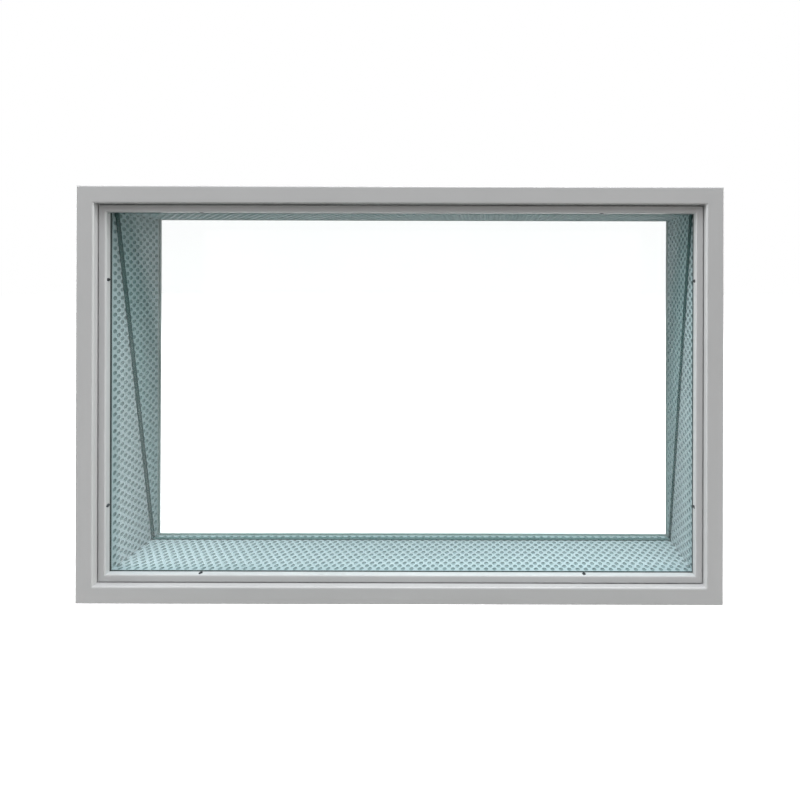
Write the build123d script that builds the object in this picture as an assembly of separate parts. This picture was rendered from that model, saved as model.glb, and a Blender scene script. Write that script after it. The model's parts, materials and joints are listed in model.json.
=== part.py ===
from build123d import *
from math import atan2, cos, degrees, radians, sin
import os

# Fixed observation window for a sound-proof room. A folded steel box frame carries a rear lip, and
# everything else is loaded into its rebate from the front: the rear pane, four perforated liners that
# space the panes apart, a middle pane sloping between them, the front pane and the beads that hold it.
# Millimetres. X runs along the sill, Y from the front (-) to the rear (+), Z up from the foot of the sill.

# Overall
overall_width = 1240.0
overall_height = 800.0
overall_depth = 166.0

# Folded steel frame
frame_sheet = 2.0
frame_bend = 1.0
face_width = 33.5
frame_seam = 1.0

# Glazing beads, one folded channel along each side of the front pane
bead_sheet = 1.5
bead_bend = 1.0
bead_recess = 10.0
bead_gap = 1.0
bead_face = 14.5
bead_depth = 10.0

# Outer panes and the rubber strips that bed them
front_pane_thickness = 6.0
rear_pane_thickness = 6.0
pane_edge_gap = 2.5
front_gasket_thickness = 4.0
rear_gasket_thickness = 1.5
rear_gasket_setback = 0.5
block_length = 80.0
block_inset = 290.0

# Perforated liners and the infill behind them
liner_sheet = 1.5
liner_bend = 0.5
liner_level = 42.5
liner_gap = 0.5
absorber_clearance = 0.3

# Sloping middle pane, its centre line set off from the two ends of the liners, and its channel rubber
middle_thickness = 12.0
middle_head_setback = 12.5
middle_sill_setback = 16.0
seal_wall = 1.0
seal_height = 1.2
seal_base = 0.5

# Levels worked out from the sizes above. A level is a distance inwards from the frame's outer edge, and
# a station is a distance back from the front face.
bead_level = face_width + bead_gap
bead_edge = bead_level + bead_face
pane_level = face_width + pane_edge_gap
deepest_level = max(liner_level, bead_edge)
bead_foot = bead_recess + bead_depth
front_pane_near = bead_foot + front_gasket_thickness
front_pane_far = front_pane_near + front_pane_thickness
liner_near = front_pane_far + front_gasket_thickness
rear_pane_far = overall_depth - frame_sheet - rear_gasket_thickness
rear_pane_near = rear_pane_far - rear_pane_thickness
liner_far = rear_pane_near - rear_gasket_thickness
liner_opening_width = overall_width - 2 * liner_level
liner_opening_height = overall_height - 2 * liner_level
mid_height = overall_height / 2


def at(station, level):
    """Point of a section, given as a distance back from the front face and a level."""
    return (station - overall_depth / 2, level)


def shifted_path(path, distance):
    """The points of an open path moved sideways by a distance, to the left of its direction."""
    runs = []
    for (y0, z0), (y1, z1) in zip(path, path[1:]):
        along = Vector(y1 - y0, z1 - z0).normalized()
        aside = Vector(-along.Y, along.X) * distance
        runs.append((Vector(y0, z0) + aside, along))
    points = [runs[0][0]]
    for (start, along), (other, direction) in zip(runs, runs[1:]):
        cross = along.X * direction.Y - along.Y * direction.X
        gap = other - start
        points.append(start + along * ((gap.X * direction.Y - gap.Y * direction.X) / cross))
    last_aside = runs[-1][0] - Vector(*path[-2])
    return points + [Vector(*path[-1]) + last_aside]


def folded_section(path, sheet, bend):
    """Section of a sheet folded along the path that its middle follows, with inside radius bend."""
    turns_left = []
    for (ay, az), (by, bz), (cy, cz) in zip(path, path[1:], path[2:]):
        turns_left.append((by - ay) * (cz - bz) - (bz - az) * (cy - by) > 0)
    inside = [bend if left else bend + sheet for left in turns_left]
    outside = [bend + sheet if left else bend for left in turns_left]
    one = FilletPolyline(*shifted_path(path, sheet / 2), radius=inside)
    other = FilletPolyline(*shifted_path(path, -sheet / 2), radius=outside)
    return make_face([*one.edges(), *other.edges(), Line(one @ 0, other @ 0), Line(one @ 1, other @ 1)])


def frame_section():
    """Box profile: the inner web runs back from the face, and the rear wall rises past it as a lip."""
    half = frame_sheet / 2
    path = [
        at(overall_depth - half, liner_level),
        at(overall_depth - half, half),
        at(half, half),
        at(half, face_width - half),
        at(overall_depth - frame_sheet - frame_seam, face_width - half),
    ]
    return folded_section(path, frame_sheet, frame_bend)


def liner_section():
    """Tray whose two flanges stand in the rebate, against the gaskets of the outer panes."""
    half = liner_sheet / 2
    flange_foot = face_width + liner_gap
    path = [
        at(liner_near + half, flange_foot),
        at(liner_near + half, liner_level - half),
        at(liner_far - half, liner_level - half),
        at(liner_far - half, flange_foot),
    ]
    return folded_section(path, liner_sheet, liner_bend)


def bead_section():
    """Channel open to the rear, its two legs standing on the front pane's gasket."""
    half = bead_sheet / 2
    path = [
        at(bead_foot, bead_level + half),
        at(bead_recess + half, bead_level + half),
        at(bead_recess + half, bead_edge - half),
        at(bead_foot, bead_edge - half),
    ]
    return folded_section(path, bead_sheet, bead_bend)


def absorber_section():
    """Felt strip that fills the liner's tray."""
    near = liner_near + liner_sheet + absorber_clearance
    far = liner_far - liner_sheet - absorber_clearance
    top = liner_level - liner_sheet - absorber_clearance
    centre = at((near + far) / 2, (face_width + top) / 2)
    return Pos(*centre) * Rectangle(far - near, top - face_width)


def mitred_member(section, length):
    """A section run along X on the sill and cut at 45 degrees at both ends."""
    bar = extrude(Plane.YZ * section, amount=length / 2, both=True)
    half, rise = length / 2, 2 * deepest_level
    outline = [(-half, 0), (half, 0), (half - rise, rise), (rise - half, rise)]
    return bar & extrude(Plane.XZ * Polygon(*outline, align=None), amount=overall_depth, both=True)


def four_members(section):
    """The mitred members of one section on the sill, head, left and right side."""
    across = mitred_member(section, overall_width)
    upright = mitred_member(section, overall_height)
    left = Pos(-overall_width / 2, 0, mid_height) * Rot(0, 90, 0) * upright
    return {
        "sill": across,
        "head": mirror(across, about=Plane.XY.offset(mid_height)),
        "left": left,
        "right": mirror(left, about=Plane.YZ),
    }


def sheet_between(near, far, level):
    """Upright plate between two stations, its edges at one level all round."""
    width, height = overall_width - 2 * level, overall_height - 2 * level
    return Pos(0, at((near + far) / 2, 0)[0], mid_height) * Box(width, far - near, height)


def gasket(near, thickness, edge):
    """Rubber strip round one face of an outer pane, from the pane's edge in to a level."""
    opening = sheet_between(near - thickness, near + 2 * thickness, edge)
    return sheet_between(near, near + thickness, pane_level) - opening


def setting_blocks(near, thickness):
    """Two rubber blocks that carry an outer pane on the rebate of the sill."""
    block = Box(block_length, thickness, pane_edge_gap)
    height = face_width + pane_edge_gap / 2
    across = overall_width / 2 - block_inset
    centre = at(near + thickness / 2, height)
    return Compound([Pos(side * across, *centre) * block for side in (-1, 1)])


def middle_slope():
    """Place and lean of the middle pane: near the front at the head and near the rear at the sill."""
    head_y = at(liner_near + middle_head_setback, 0)[0]
    sill_y = at(liner_far - middle_sill_setback, 0)[0]
    lean = degrees(atan2(sill_y - head_y, liner_opening_height))
    return Pos(0, (head_y + sill_y) / 2, mid_height) * Rot(lean, 0, 0), lean


def middle_pane():
    """Square-cut pane whose lowest and highest corners stay one seal base clear of the liners."""
    slope, lean = middle_slope()
    rise = liner_opening_height - 2 * seal_base - middle_thickness * sin(radians(lean))
    return slope * Box(liner_opening_width - 2 * seal_base, middle_thickness, rise / cos(radians(lean)))


def middle_seals(pane):
    """Channel rubber round the middle pane, cut to lie flat on the four liners."""
    slope, _ = middle_slope()
    channel_width = middle_thickness + 2 * seal_wall
    band = slope * Box(2 * overall_width, channel_width, 2 * overall_height)
    seat = sheet_between(0, overall_depth, liner_level)
    clear = sheet_between(0, overall_depth, liner_level + seal_height)
    ring = (band & seat) - clear - pane
    side = Box(seal_height, overall_depth, overall_height)
    offset = (liner_opening_width - seal_height) / 2
    left = Pos(-offset, 0, mid_height) * side
    right = Pos(offset, 0, mid_height) * side
    across = ring - left - right
    upper_half = Pos(0, 0, overall_height) * Box(overall_width, overall_depth, overall_height)
    return {
        "sill": across - upper_half,
        "head": across & upper_half,
        "left": ring & left,
        "right": ring & right,
    }


def window_pieces():
    """Every piece of the window under its own name."""
    pieces = {}
    sections = {
        "frame": frame_section(),
        "liner": liner_section(),
        "absorber": absorber_section(),
        "bead": bead_section(),
    }
    for kind, section in sections.items():
        for side, solid in four_members(section).items():
            pieces[f"{kind}_{side}"] = solid
    pieces["front_pane"] = sheet_between(front_pane_near, front_pane_far, pane_level)
    pieces["rear_pane"] = sheet_between(rear_pane_near, rear_pane_far, pane_level)
    pieces["front_outer_gasket"] = gasket(bead_foot, front_gasket_thickness, bead_edge)
    pieces["front_inner_gasket"] = gasket(front_pane_far, front_gasket_thickness, liner_level)
    rear_edge = liner_level - rear_gasket_setback
    pieces["rear_inner_gasket"] = gasket(liner_far, rear_gasket_thickness, rear_edge)
    pieces["rear_outer_gasket"] = gasket(rear_pane_far, rear_gasket_thickness, rear_edge)
    pieces["front_setting_blocks"] = setting_blocks(front_pane_near, front_pane_thickness)
    pieces["rear_setting_blocks"] = setting_blocks(rear_pane_near, rear_pane_thickness)
    pieces["middle_pane"] = middle_pane()
    for side, solid in middle_seals(pieces["middle_pane"]).items():
        pieces[f"middle_seal_{side}"] = solid
    return pieces


os.makedirs("parts", exist_ok=True)
for name, solid in window_pieces().items():
    export_step(solid, f"parts/{name}.step")
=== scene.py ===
import bmesh
import bpy
import json
import math
from mathutils import Matrix, Vector


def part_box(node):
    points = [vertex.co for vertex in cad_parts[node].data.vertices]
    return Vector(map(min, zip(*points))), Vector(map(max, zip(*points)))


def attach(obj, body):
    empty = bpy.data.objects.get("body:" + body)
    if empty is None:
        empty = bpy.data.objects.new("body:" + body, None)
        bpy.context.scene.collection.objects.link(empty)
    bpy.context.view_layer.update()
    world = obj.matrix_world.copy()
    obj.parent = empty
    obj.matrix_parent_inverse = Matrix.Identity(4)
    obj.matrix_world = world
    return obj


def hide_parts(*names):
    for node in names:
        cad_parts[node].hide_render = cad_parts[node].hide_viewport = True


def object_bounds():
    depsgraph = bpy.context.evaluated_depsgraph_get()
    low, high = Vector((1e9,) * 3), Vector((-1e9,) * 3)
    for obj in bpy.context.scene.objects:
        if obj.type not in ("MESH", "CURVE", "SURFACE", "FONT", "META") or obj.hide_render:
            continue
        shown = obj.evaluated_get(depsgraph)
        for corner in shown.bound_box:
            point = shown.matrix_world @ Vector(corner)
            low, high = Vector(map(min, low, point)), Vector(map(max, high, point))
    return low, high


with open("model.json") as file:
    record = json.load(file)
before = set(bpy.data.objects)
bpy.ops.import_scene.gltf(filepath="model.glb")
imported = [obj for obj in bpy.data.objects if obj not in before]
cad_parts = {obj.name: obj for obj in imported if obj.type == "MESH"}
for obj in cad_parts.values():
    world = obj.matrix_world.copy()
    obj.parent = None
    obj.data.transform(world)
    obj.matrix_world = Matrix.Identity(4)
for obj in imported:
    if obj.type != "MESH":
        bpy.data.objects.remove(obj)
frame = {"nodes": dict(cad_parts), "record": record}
cadLow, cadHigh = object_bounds()
print("frame loaded:", len(frame["nodes"]), "nodes")

# Sizes of the whole window, in metres, read from the frame
windowWidth = cadHigh.x - cadLow.x
windowHeight = cadHigh.z - cadLow.z
frontY = cadLow.y
sides = {"sill": 0, "left": 90, "head": 180, "right": 270}  # degrees round the depth axis
white = (1.0, 1.0, 1.0, 1.0)


def reachOf(side):
    # half of the window's size at right angles to that side
    return (windowHeight if side in ("sill", "head") else windowWidth) / 2


def runOf(side):
    # half of the window's size along that side
    return (windowWidth if side in ("sill", "head") else windowHeight) / 2


def levelsOf(name, side):
    # the least and the greatest level, inwards from the outer edge, of a piece along one side
    low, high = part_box(name)
    edges = (low.x, high.x)
    if side in ("sill", "head"):
        edges = (low.z - windowHeight / 2, high.z - windowHeight / 2)
    return sorted(reachOf(side) - abs(edge) for edge in edges)


def placeOn(side, along, depth, level):
    # a point given along one side, at a depth and at a level
    local = Vector((along, depth, level - reachOf(side)))
    turned = Matrix.Rotation(math.radians(sides[side]), 3, "Y") @ local
    return turned + Vector((0, 0, windowHeight / 2))


seenRayNames = ("Is Camera Ray", "Is Glossy Ray", "Is Transmission Ray")
noiseStops = ((0.3, 0.0), (0.7, 1.0))  # place on the noise's scale, then shade


class Wire:
    # one output of a node; sums on it add Math nodes
    def __init__(self, shader, socket):
        self.shader, self.socket = shader, socket

    def maths(self, operation, other):
        return self.shader.node("Math", {"operation": operation}, {0: self, 1: other})

    def __add__(self, other):
        return self.maths("ADD", other)

    def __mul__(self, other):
        return self.maths("MULTIPLY", other)

    def atLeast(self, other):
        return self.maths("MAXIMUM", other)

    def below(self, other):
        return self.maths("LESS_THAN", other)

    __radd__, __rmul__ = __add__, __mul__


def socketOf(sockets, name):
    # a Mix node holds several sockets of one name, of which one is in use
    if isinstance(name, int):
        return sockets[name]
    return next(socket for socket in sockets if socket.name == name and socket.enabled)


class Shader:
    # a node tree that is filled one node at a time
    def __init__(self, owner):
        owner.use_nodes = True
        self.tree = owner.node_tree
        self.tree.nodes.clear()

    def node(self, kind, settings=None, sockets=None, output=0):
        made = self.tree.nodes.new("ShaderNode" + kind)
        for name, value in (settings or {}).items():
            if name == "stops":
                self.setStops(made.color_ramp.elements, value)
            else:
                setattr(made, name, value)
        for name, value in (sockets or {}).items():
            if isinstance(value, Wire):
                self.tree.links.new(value.socket, socketOf(made.inputs, name))
            else:
                socketOf(made.inputs, name).default_value = value
        return Wire(self, socketOf(made.outputs, output)) if made.outputs else None

    def setStops(self, elements, stops):
        for stop, (place, shade) in zip(elements, stops):
            stop.position, stop.color = place, (shade, shade, shade, 1)

    def spread(self, scale, stretch=(1.0, 1.0, 1.0), detail=3.0):
        # noise over the object's own coordinates, levelled to run from 0 to 1
        place = self.node("TexCoord", output="Object")
        place = self.node("VectorMath", {"operation": "MULTIPLY"}, {0: place, 1: stretch})
        noise = self.node("TexNoise", {}, {"Vector": place, "Scale": scale, "Detail": detail})
        return self.node("ValToRGB", {"stops": noiseStops}, {"Fac": noise})

    def blend(self, mask, first, second):
        # a colour that runs from first to second as mask goes from 0 to 1
        sockets = {"Factor": mask, "A": first, "B": second}
        return self.node("Mix", {"data_type": "RGBA"}, sockets, output="Result")

    def bump(self, height, strength, distance):
        return self.node("Bump", {}, {"Height": height, "Strength": strength, "Distance": distance})

    def finishWith(self, shader, ending="OutputMaterial"):
        self.node(ending, {}, {"Surface": shader})

    def seenRays(self):
        # 1 for rays that show what stands behind: straight, mirrored or through glass
        found = [self.node("LightPath", output=name) for name in seenRayNames]
        return found[0].atLeast(found[1]).atLeast(found[2])


def newMaterial(name):
    material = bpy.data.materials.new(name)
    return material, Shader(material)


def tinted(shade, tint):
    # a colour from one shade and its tint
    return tuple(shade * part for part in tint) + (1.0,)


def addObject(name, data):
    made = bpy.data.objects.new(name, data)
    bpy.context.scene.collection.objects.link(made)
    return made


# The camera: level, in front of the window, right of its centre and above it
cameraLook = {
    "ahead": 0.7812,
    "right": 0.1618,
    "height": 0.6172,
    "focalPixels": 409.2,
    "centrePixel": (484.5, 282.0),
    "imageSide": 800.0,
    "sensor": 36.0,
    "rollDegrees": 0.14,
    "nearest": 0.01,
}


def makeCamera(look):
    camera = bpy.data.cameras.new("windowCamera")
    side = look["imageSide"]
    camera.sensor_width = look["sensor"]
    camera.lens = look["focalPixels"] * look["sensor"] / side
    camera.shift_x = (side / 2 - look["centrePixel"][0]) / side
    camera.shift_y = (look["centrePixel"][1] - side / 2) / side
    camera.clip_start = look["nearest"]
    holder = addObject("windowCamera", camera)
    level = Matrix.Rotation(math.radians(90), 4, "X")
    roll = Matrix.Rotation(math.radians(look["rollDegrees"]), 4, "Z")
    place = (look["right"], frontY - look["ahead"], look["height"])
    holder.matrix_world = Matrix.Translation(place) @ level @ roll
    bpy.context.scene.camera = holder


makeCamera(cameraLook)
print("camera placed")

# The coats of paint: a little mottling, the fine ripple of a sprayed powder, a satin shine
paintLook = {
    "frame": {
        "dark": 0.392,
        "light": 0.420,
        "tint": (0.985, 1.0, 1.005),
        "rough": (0.36, 0.48),
        "shine": 0.5,
    },
    "bead": {
        "dark": 0.40,
        "light": 0.44,
        "tint": (0.985, 1.0, 1.01),
        "rough": (0.34, 0.46),
        "shine": 0.5,
    },
    "liner": {
        "dark": 0.417,
        "light": 0.472,
        "tint": (0.89, 1.0, 1.05),
        "rough": (0.55, 0.68),
        "shine": 0.3,
    },
    "mottle": 5.0,
    "grain": 520.0,
    "grainShare": 0.25,
    "ripple": 260.0,
    "rippleHeight": 0.00004,
    "rippleStrength": 0.35,
}


def makePaint(name, look):
    material, shader = newMaterial(name)
    mottle = shader.spread(paintLook["mottle"], detail=4.0)
    grain = shader.spread(paintLook["grain"], detail=1.0)
    ripple = shader.spread(paintLook["ripple"], detail=2.0)
    share = paintLook["grainShare"]
    speckle = mottle * (1 - share) + grain * share
    dark, light = tinted(look["dark"], look["tint"]), tinted(look["light"], look["tint"])
    low, high = look["rough"]
    sockets = {
        "Base Color": shader.blend(speckle, dark, light),
        "Specular IOR Level": look["shine"],
        "Roughness": low + (mottle + grain) * ((high - low) / 2),
        "Normal": shader.bump(ripple, paintLook["rippleStrength"], paintLook["rippleHeight"]),
    }
    shader.finishWith(shader.node("BsdfPrincipled", {}, sockets))
    return material


# The felt behind the perforation: matt, with short crossing fibres
feltLook = {
    "dark": (0.160, 0.202, 0.207, 1.0),
    "light": (0.306, 0.371, 0.376, 1.0),
    "fibre": 300.0,
    "fibreStretch": 0.2,
    "fibreHeight": 0.0005,
    "fibreStrength": 0.6,
    "rough": 0.95,
    "shine": 0.2,
}


def makeFelt(look):
    material, shader = newMaterial("absorberFelt")
    along = shader.spread(look["fibre"], stretch=(look["fibreStretch"], 1.0, 1.0))
    across = shader.spread(look["fibre"], stretch=(1.0, look["fibreStretch"], 1.0))
    fibres = (along + across) * 0.5
    sockets = {
        "Base Color": shader.blend(fibres, look["dark"], look["light"]),
        "Roughness": look["rough"],
        "Specular IOR Level": look["shine"],
        "Normal": shader.bump(fibres, look["fibreStrength"], look["fibreHeight"]),
    }
    shader.finishWith(shader.node("BsdfPrincipled", {}, sockets))
    return material


# The panes: clear glass, faintly green, with ground edges. Lamplight that comes through them takes
# on a stronger cast, most of all in the thick middle pane
glassLook = {
    "clear": (0.995, 1.0, 0.999, 1.0),
    "misty": (0.990, 0.998, 0.997, 1.0),
    "edge": (0.110, 0.180, 0.175, 1.0),
    "cast": {"outer": (0.90, 0.97, 0.967, 1.0), "middle": (0.85, 0.98, 0.97, 1.0)},
    "bending": 1.5,
    "mirrored": (0.25, 0.27, 0.27, 1.0),  # the panes barely mirror the room
    "wave": 3.0,
    "edgeFacing": 0.5,  # a face is an edge when its normal's squared depth part is less
}


def makeGlass(name, cast):
    look = glassLook
    material, shader = newMaterial(name)
    wave = shader.spread(look["wave"], detail=1.0)
    sockets = {
        "Base Color": shader.blend(wave, look["clear"], look["misty"]),
        "Roughness": 0.0,
        "Transmission Weight": 1.0,
        "IOR": look["bending"],
        "Specular Tint": look["mirrored"],
    }
    clear = shader.node("BsdfPrincipled", {}, sockets)
    ground = shader.node("BsdfDiffuse", {}, {"Color": look["edge"]})
    normal = shader.node("TexCoord", output="Normal")
    across = shader.node("SeparateXYZ", {}, {0: normal}, output="Y")
    onEdge = (across * across).below(look["edgeFacing"])
    pane = shader.node("MixShader", {}, {0: onEdge, 1: clear, 2: ground})
    shadowed = shader.node("LightPath", output="Is Shadow Ray")
    bounced = shader.node("LightPath", output="Is Diffuse Ray")
    through = shader.node("BsdfTransparent", {}, {"Color": look["cast"][cast]})
    sockets = {0: shadowed.atLeast(bounced), 1: pane, 2: through}
    shader.finishWith(shader.node("MixShader", {}, sockets))
    return material


# The strips that bed the panes: black rubber in front, pale silicone at the rear and dark
# grey-green silicone round the middle pane, all finely pitted
stripLook = {
    "rubber": {
        "dark": (0.020, 0.025, 0.025, 1.0),
        "light": (0.050, 0.060, 0.060, 1.0),
        "rough": 0.65,
        "shine": 0.25,
    },
    "bedding": {
        "dark": (0.36, 0.39, 0.38, 1.0),
        "light": (0.44, 0.47, 0.46, 1.0),
        "rough": 0.45,
        "shine": 0.5,
    },
    "seal": {
        "dark": (0.040, 0.080, 0.080, 1.0),
        "light": (0.075, 0.130, 0.128, 1.0),
        "rough": 0.60,
        "shine": 0.2,
    },
    "pits": 900.0,
    "pitRough": 0.2,
    "pitDepth": 0.0001,
    "pitStrength": 0.4,
}


def makeStrip(name, look):
    material, shader = newMaterial(name)
    pits = shader.spread(stripLook["pits"], detail=2.0)
    sockets = {
        "Base Color": shader.blend(pits, look["dark"], look["light"]),
        "Roughness": look["rough"] + pits * stripLook["pitRough"],
        "Specular IOR Level": look["shine"],
        "Normal": shader.bump(pits, stripLook["pitStrength"], stripLook["pitDepth"]),
    }
    shader.finishWith(shader.node("BsdfPrincipled", {}, sockets))
    return material


# The screws: dark plated steel with fine turning marks
screwMetalLook = {
    "dark": (0.020, 0.022, 0.024, 1.0),
    "light": (0.070, 0.073, 0.077, 1.0),
    "rough": (0.34, 0.50),
    "marks": 700.0,
    "markDepth": 0.00005,
    "markStrength": 0.2,
}


def makeScrewMetal(look):
    material, shader = newMaterial("screwMetal")
    marks = shader.spread(look["marks"], detail=2.0)
    low, high = look["rough"]
    sockets = {
        "Base Color": shader.blend(marks, look["dark"], look["light"]),
        "Metallic": 1.0,
        "Roughness": low + marks * (high - low),
        "Normal": shader.bump(marks, look["markStrength"], look["markDepth"]),
    }
    shader.finishWith(shader.node("BsdfPrincipled", {}, sockets))
    return material


thickGlass = makeGlass("thickGlass", "middle")
linerPaint = makePaint("linerPaint", paintLook["liner"])
screwMetal = makeScrewMetal(screwMetalLook)
finishes = {
    "frame_paint": makePaint("framePaint", paintLook["frame"]),
    "bead_paint": makePaint("beadPaint", paintLook["bead"]),
    "liner_paint": linerPaint,
    "absorber_felt": makeFelt(feltLook),
    "pane_glass": makeGlass("paneGlass", "outer"),
    "gasket_rubber": makeStrip("glazingRubber", stripLook["rubber"]),
    "bedding_silicone": makeStrip("beddingSilicone", stripLook["bedding"]),
    "seal_silicone": makeStrip("sealSilicone", stripLook["seal"]),
}
print("materials made")


def dressNodes():
    slotOf = {part["node"]: part["material_slot"] for part in frame["record"]["subparts"]}
    for name, node in frame["nodes"].items():
        node.data.materials.clear()
        node.data.materials.append(thickGlass if name == "middle_pane" else finishes[slotOf[name]])


dressNodes()
print("frame nodes dressed")


def addPiece(name, mesh, material):
    mesh.materials.append(material)
    piece = addObject(name, mesh)
    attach(piece, "root")
    return piece


# The perforated liners: one folded tray for each side, its holes on a square grid turned by 45
# degrees. rimCorners names, for each point round a hole, the nearest of its tile's six corners
linerLook = {
    "sheet": 0.0015,
    "bend": 0.0005,
    "bendSteps": 4,
    "pitch": 0.01177,
    "hole": 0.0086,
    "holeRows": 14,
    "rimCorners": (0, 0, 0, 1, 1, 2, 2, 2, 3, 3, 3, 4, 4, 5, 5, 5),
    "cutSlack": 1e-7,
    "endSlack": 1e-6,
}


def linerFold(side):
    # stations of the sheet's middle, from the front flange's foot to the rear one's: depth, level
    # and the two parts of the normal
    low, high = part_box("liner_" + side)
    half = linerLook["sheet"] / 2
    radius = linerLook["bend"] + half
    foot, crest = levelsOf("liner_" + side, side)
    top = crest - half
    near, far = low.y + half, high.y - half
    steps = linerLook["bendSteps"]
    stations = [(near, foot, -1.0, 0.0)]
    for step in range(steps + 1):
        turn = math.radians(90 * step / steps)
        back, up = math.cos(turn), math.sin(turn)
        stations.append((near + radius * (1 - back), top - radius * (1 - up), -back, up))
    for depth, level, out, up in reversed(stations[:]):
        stations.append((near + far - depth, level, -out, up))
    return stations, far - radius, top


def tileCorners(column, row):
    # the six crossings round a hole that is centred on a column, half a row down
    return [(column + 1, row + 1), (column, row + 1), (column - 1, row + 1),
            (column - 1, row), (column, row), (column + 1, row)]


def flatSheet(side):
    # the tray unfolded: a grid of crossings, with a ring of triangles round every hole. The rows of
    # holes end at the rear bend, and the mitres start at end
    stations, webFar, top = linerFold(side)
    spacing = linerLook["pitch"] / math.sqrt(2)
    rows = linerLook["holeRows"]
    start = webFar - rows * spacing
    webStations = [(start + row * spacing, top, 0.0, 1.0) for row in range(rows + 1)]
    middle = len(stations) // 2
    stations = stations[:middle] + webStations + stations[middle:]
    end = runOf(side) - levelsOf("liner_" + side, side)[1]
    columns = math.ceil(end / spacing) + 1
    grid, points, faces = {}, [], []

    def crossing(column, row):
        if (column, row) not in grid:
            grid[column, row] = len(points)
            points.append((column * spacing, float(row)))
        return grid[column, row]

    for row in range(len(stations) - 1):
        holed = middle <= row < middle + rows
        for column in range(-columns, columns):
            if not holed:
                lower = [crossing(column, row), crossing(column + 1, row)]
                upper = [crossing(column + 1, row + 1), crossing(column, row + 1)]
                faces.append(lower + upper)
            elif (column + row) % 2 == 0:
                corners = [crossing(*corner) for corner in tileCorners(column, row)]
                addTile(points, faces, corners, (column * spacing, row + 0.5), spacing)
    return stations, points, faces, end


def addTile(points, faces, corners, centre, spacing):
    # a tile with a round hole: triangles between the hole's rim and the tile's corners
    radius = linerLook["hole"] / 2
    nearest = linerLook["rimCorners"]
    count = len(nearest)
    across, down = centre
    rim = []
    for step in range(count):
        turn = 2 * math.pi * step / count
        rim.append(len(points))
        points.append((across + radius * math.cos(turn), down + radius * math.sin(turn) / spacing))
    for step in range(count):
        here, following = nearest[step], nearest[(step + 1) % count]
        start, stop = rim[step], rim[(step + 1) % count]
        faces.append([start, corners[here], stop])
        if following != here:
            faces.append([stop, corners[here], corners[following]])


def cutEnds(points, faces, end):
    # trims the flat sheet to the line where the mitres start
    flat = bmesh.new()
    made = [flat.verts.new((x, row, 0.0)) for x, row in points]
    for face in faces:
        flat.faces.new([made[index] for index in face])
    for sign in (-1, 1):
        everything = flat.verts[:] + flat.edges[:] + flat.faces[:]
        bmesh.ops.bisect_plane(flat, geom=everything, dist=linerLook["cutSlack"],
                               plane_co=(sign * end, 0, 0), plane_no=(sign, 0, 0), clear_outer=True)
    loose = [vert for vert in flat.verts if not vert.link_faces]
    bmesh.ops.delete(flat, geom=loose, context="VERTS")
    flat.verts.index_update()
    return flat


def foldPoint(stations, row, offset):
    # where a row of the flat sheet lies once folded, moved out of the sheet's middle by offset
    first = min(int(row), len(stations) - 2)
    share = row - first
    mixed = [a + (b - a) * share for a, b in zip(stations[first], stations[first + 1])]
    depth, level, out, up = mixed
    size = math.hypot(out, up)
    return depth + offset * out / size, level + offset * up / size


def makeLiner(side):
    # both skins of the folded sheet, and walls round every hole and along its ends
    stations, points, faces, end = flatSheet(side)
    flat = cutEnds(points, faces, end)
    half = linerLook["sheet"] / 2
    count = len(flat.verts)
    solidPoints = []
    for offset in (half, -half):
        for vert in flat.verts:
            depth, level = foldPoint(stations, vert.co.y, offset)
            along = vert.co.x
            if abs(along) > end - linerLook["endSlack"]:
                along = math.copysign(runOf(side) - level, along)
            solidPoints.append(placeOn(side, along, depth, level))
    solidFaces = []
    for face in flat.faces:
        ring = [vert.index for vert in face.verts]
        solidFaces.append(ring)
        solidFaces.append([index + count for index in reversed(ring)])
        for loop in face.loops:
            if len(loop.edge.link_faces) == 1:
                a, b = loop.vert.index, loop.link_loop_next.vert.index
                solidFaces.append([a + count, b + count, b, a])
    flat.free()
    mesh = bpy.data.meshes.new("perforated_liner_" + side)
    mesh.from_pydata(solidPoints, [], solidFaces)
    mesh.validate()
    mesh.update()
    liner = addPiece("perforated_liner_" + side, mesh, linerPaint)
    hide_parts("liner_" + side)
    print("liner", side, len(mesh.polygons), "faces")


for side in sides:
    makeLiner(side)

# The screws that hold the beads: low domed heads with a cross recess, two in the inner leg of each
# bead. fromEnds gives their distances from the two ends of the window's side
screwLook = {
    "headRadius": 0.0035,
    "headHeight": 0.0011,
    "flatRadius": 0.002128,
    "domeSteps": 4,
    "round": 24,
    "sharpDegrees": 35,
    "crossReach": 0.0019,
    "crossHalf": 0.00042,
    "crossDepth": 0.0008,
    "crossTaper": 0.55,
    "shankRadius": 0.0015,
    "shankDepth": 0.0135,
    "station": 0.0162,
    "twistDegrees": (57, 94),
    "fromEnds": {
        "sill": (0.230, 0.263),
        "head": (0.230, 0.230),
        "left": (0.180, 0.180),
        "right": (0.180, 0.180),
    },
}


def ringAt(screw, radius, height):
    turns = [2 * math.pi * step / screwLook["round"] for step in range(screwLook["round"])]
    return [screw.verts.new((radius * math.cos(t), radius * math.sin(t), height)) for t in turns]


def joinRings(screw, lower, upper):
    for here in range(len(lower)):
        after = (here + 1) % len(lower)
        screw.faces.new([lower[here], lower[after], upper[after], upper[here]])


def crossOutline(scale):
    # twelve corners of a plus, anticlockwise
    reach, half = screwLook["crossReach"] * scale, screwLook["crossHalf"] * scale
    arm = [(reach, -half), (reach, half), (half, half)]
    corners = []
    for quarter in range(4):
        turn = Matrix.Rotation(math.radians(90 * quarter), 2)
        corners += [turn @ Vector(corner) for corner in arm]
    return corners


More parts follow.
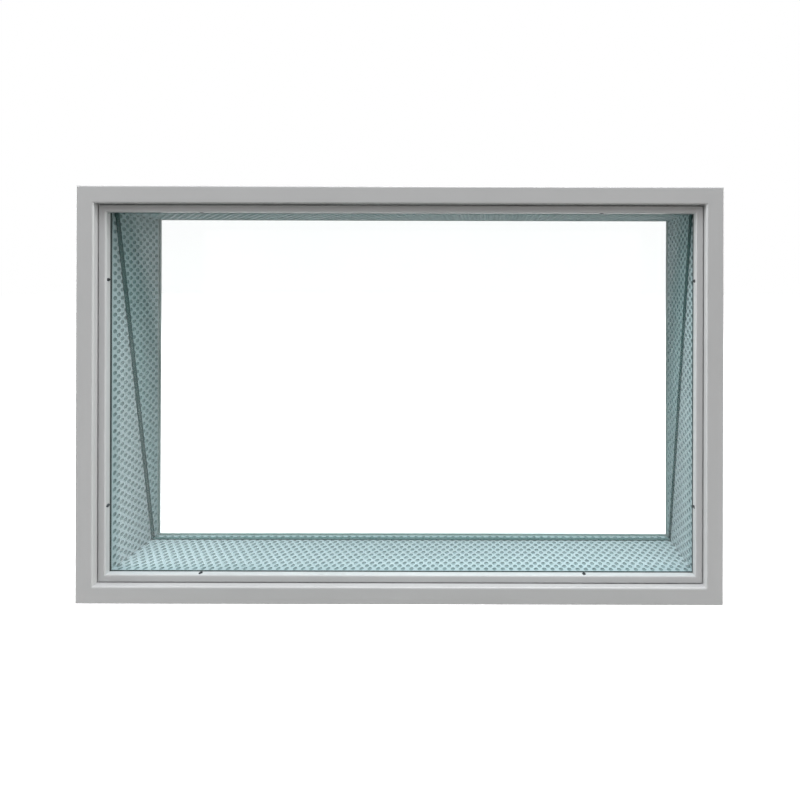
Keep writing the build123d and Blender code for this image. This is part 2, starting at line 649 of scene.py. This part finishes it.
def makeScrewMesh():
    # upright: the shank, the dome ring by ring, then the cross recess in the dome's flat
    look = screwLook
    screw = bmesh.new()
    tip = ringAt(screw, look["shankRadius"], -look["shankDepth"])
    neck = ringAt(screw, look["shankRadius"], 0.0)
    screw.faces.new(list(reversed(tip)))
    joinRings(screw, tip, neck)
    last = ringAt(screw, look["headRadius"], 0.0)
    joinRings(screw, neck, last)
    crown = look["flatRadius"]
    for step in range(1, look["domeSteps"] + 1):
        turn = math.radians(90 * step / look["domeSteps"])
        radius = crown + (look["headRadius"] - crown) * math.cos(turn)
        following = ringAt(screw, radius, look["headHeight"] * math.sin(turn))
        joinRings(screw, last, following)
        last = following
    top, floor = look["headHeight"], look["headHeight"] - look["crossDepth"]
    rim = [screw.verts.new((x, y, top)) for x, y in crossOutline(1.0)]
    base = [screw.verts.new((x, y, floor)) for x, y in crossOutline(look["crossTaper"])]
    edges = [screw.edges.get((last[i], last[(i + 1) % len(last)])) for i in range(len(last))]
    edges += [screw.edges.new((rim[i], rim[(i + 1) % len(rim)])) for i in range(len(rim))]
    bmesh.ops.triangle_fill(screw, edges=edges, use_beauty=True, normal=(0, 0, 1))
    joinRings(screw, base, rim)
    screw.faces.new(base)
    bmesh.ops.recalc_face_normals(screw, faces=screw.faces[:])
    mesh = bpy.data.meshes.new("bead_screw")
    screw.to_mesh(mesh)
    screw.free()
    mesh.shade_smooth()
    mesh.set_sharp_from_angle(angle=math.radians(look["sharpDegrees"]))
    return mesh


def placeScrew(side, number, along):
    level = levelsOf("bead_" + side, side)[1]
    mesh = makeScrewMesh()
    turn = Matrix.Rotation(math.radians(sides[side]), 4, "Y")
    twist = Matrix.Rotation(math.radians(screwLook["twistDegrees"][number - 1]), 4, "Z")
    spot = Matrix.Translation(placeOn(side, along, frontY + screwLook["station"], level))
    mesh.transform(spot @ turn @ twist)
    addPiece(f"screw_{side}_{number}", mesh, screwMetal)


for side in sides:
    fromFirst, fromLast = screwLook["fromEnds"][side]
    placeScrew(side, 1, fromFirst - runOf(side))
    placeScrew(side, 2, runOf(side) - fromLast)
print("screws placed")

# The pale floor, the white surroundings and the lamps. Floor and surroundings look white to the
# camera, also through glass, and give the window only a little of their light
roomLook = {
    "floorSize": 40.0,
    "floorCloud": 2.0,
    "floorColour": (0.80, 0.81, 0.81, 1.0),
    "floorBounce": (0.265, 0.255, 0.24, 1.0),
    "floorGlow": 0.87,
    "ambient": (1.0, 1.0, 1.0, 1.0),
    "ambientStrength": 0.15,
}
lampLook = {
    "above": {
        "size": (4.4, 1.4),
        "place": (0.2, -1.2, 4.9),
        "aim": (0.0, 0.0, 0.3),
        "watts": 276.0,
        "colour": (1.0, 1.0, 1.02),
    },
    "front": {
        "size": (2.4, 0.8),
        "place": (0.1, -2.0, 3.0),
        "aim": (0.0, 0.0, 0.4),
        "watts": 30.0,
        "colour": (1.0, 1.0, 1.01),
    },
    "behind": {
        "size": (3.2, 1.0),
        "place": (0.0, 3.2, 4.3),
        "aim": (0.0, 0.0, 0.1),
        "watts": 92.0,
        "colour": (1.10, 1.0, 1.04),
    },
    "leftSide": {
        "size": (1.44, 4.32),
        "place": (-9.0, -0.7, 2.0),
        "aim": (0.0, 0.0, 0.4),
        "watts": 880.0,
        "colour": (0.99, 1.0, 1.0),
    },
    "rightSide": {
        "size": (1.44, 4.32),
        "place": (9.0, -0.7, 2.0),
        "aim": (0.0, 0.0, 0.4),
        "watts": 705.0,
        "colour": (1.01, 1.0, 0.98),
    },
}


def makeFloor(look):
    half = look["floorSize"] / 2
    mesh = bpy.data.meshes.new("paleFloor")
    corners = [(-half, -half, 0), (half, -half, 0), (half, half, 0), (-half, half, 0)]
    mesh.from_pydata(corners, [], [(0, 1, 2, 3)])
    material, shader = newMaterial("paleFloor")
    cloud = shader.spread(look["floorCloud"])
    tone = shader.blend(cloud, look["floorColour"], white)
    plain = shader.node("BsdfDiffuse", {}, {"Color": look["floorBounce"]})
    shown = shader.node("BsdfDiffuse", {}, {"Color": tone})
    glow = shader.node("Emission", {}, {"Color": white, "Strength": look["floorGlow"]})
    lit = shader.node("AddShader", {}, {0: shown, 1: glow})
    shader.finishWith(shader.node("MixShader", {}, {0: shader.seenRays(), 1: plain, 2: lit}))
    mesh.materials.append(material)
    floor = addObject("paleFloor", mesh)


def makeSurroundings(look):
    world = bpy.data.worlds.new("whiteRoom")
    bpy.context.scene.world = world
    shader = Shader(world)
    ambient = shader.node("Background", {}, {0: look["ambient"], 1: look["ambientStrength"]})
    seen = shader.node("Background", {}, {0: white, 1: 1.0})
    mixed = shader.node("MixShader", {}, {0: shader.seenRays(), 1: ambient, 2: seen})
    shader.finishWith(mixed, "OutputWorld")


def makeLamp(name, look):
    lamp = bpy.data.lights.new(name, "AREA")
    lamp.shape = "RECTANGLE"
    lamp.size, lamp.size_y = look["size"]
    lamp.energy, lamp.color = look["watts"], look["colour"]
    holder = addObject(name, lamp)
    holder.location = look["place"]
    aim = Vector(look["aim"]) - Vector(look["place"])
    holder.rotation_euler = aim.to_track_quat("-Z", "Y").to_euler()


makeFloor(roomLook)
makeSurroundings(roomLook)
for name, look in lampLook.items():
    makeLamp(name, look)
bpy.context.scene.view_settings.view_transform = "Standard"
print("floor, surroundings and lamps made")
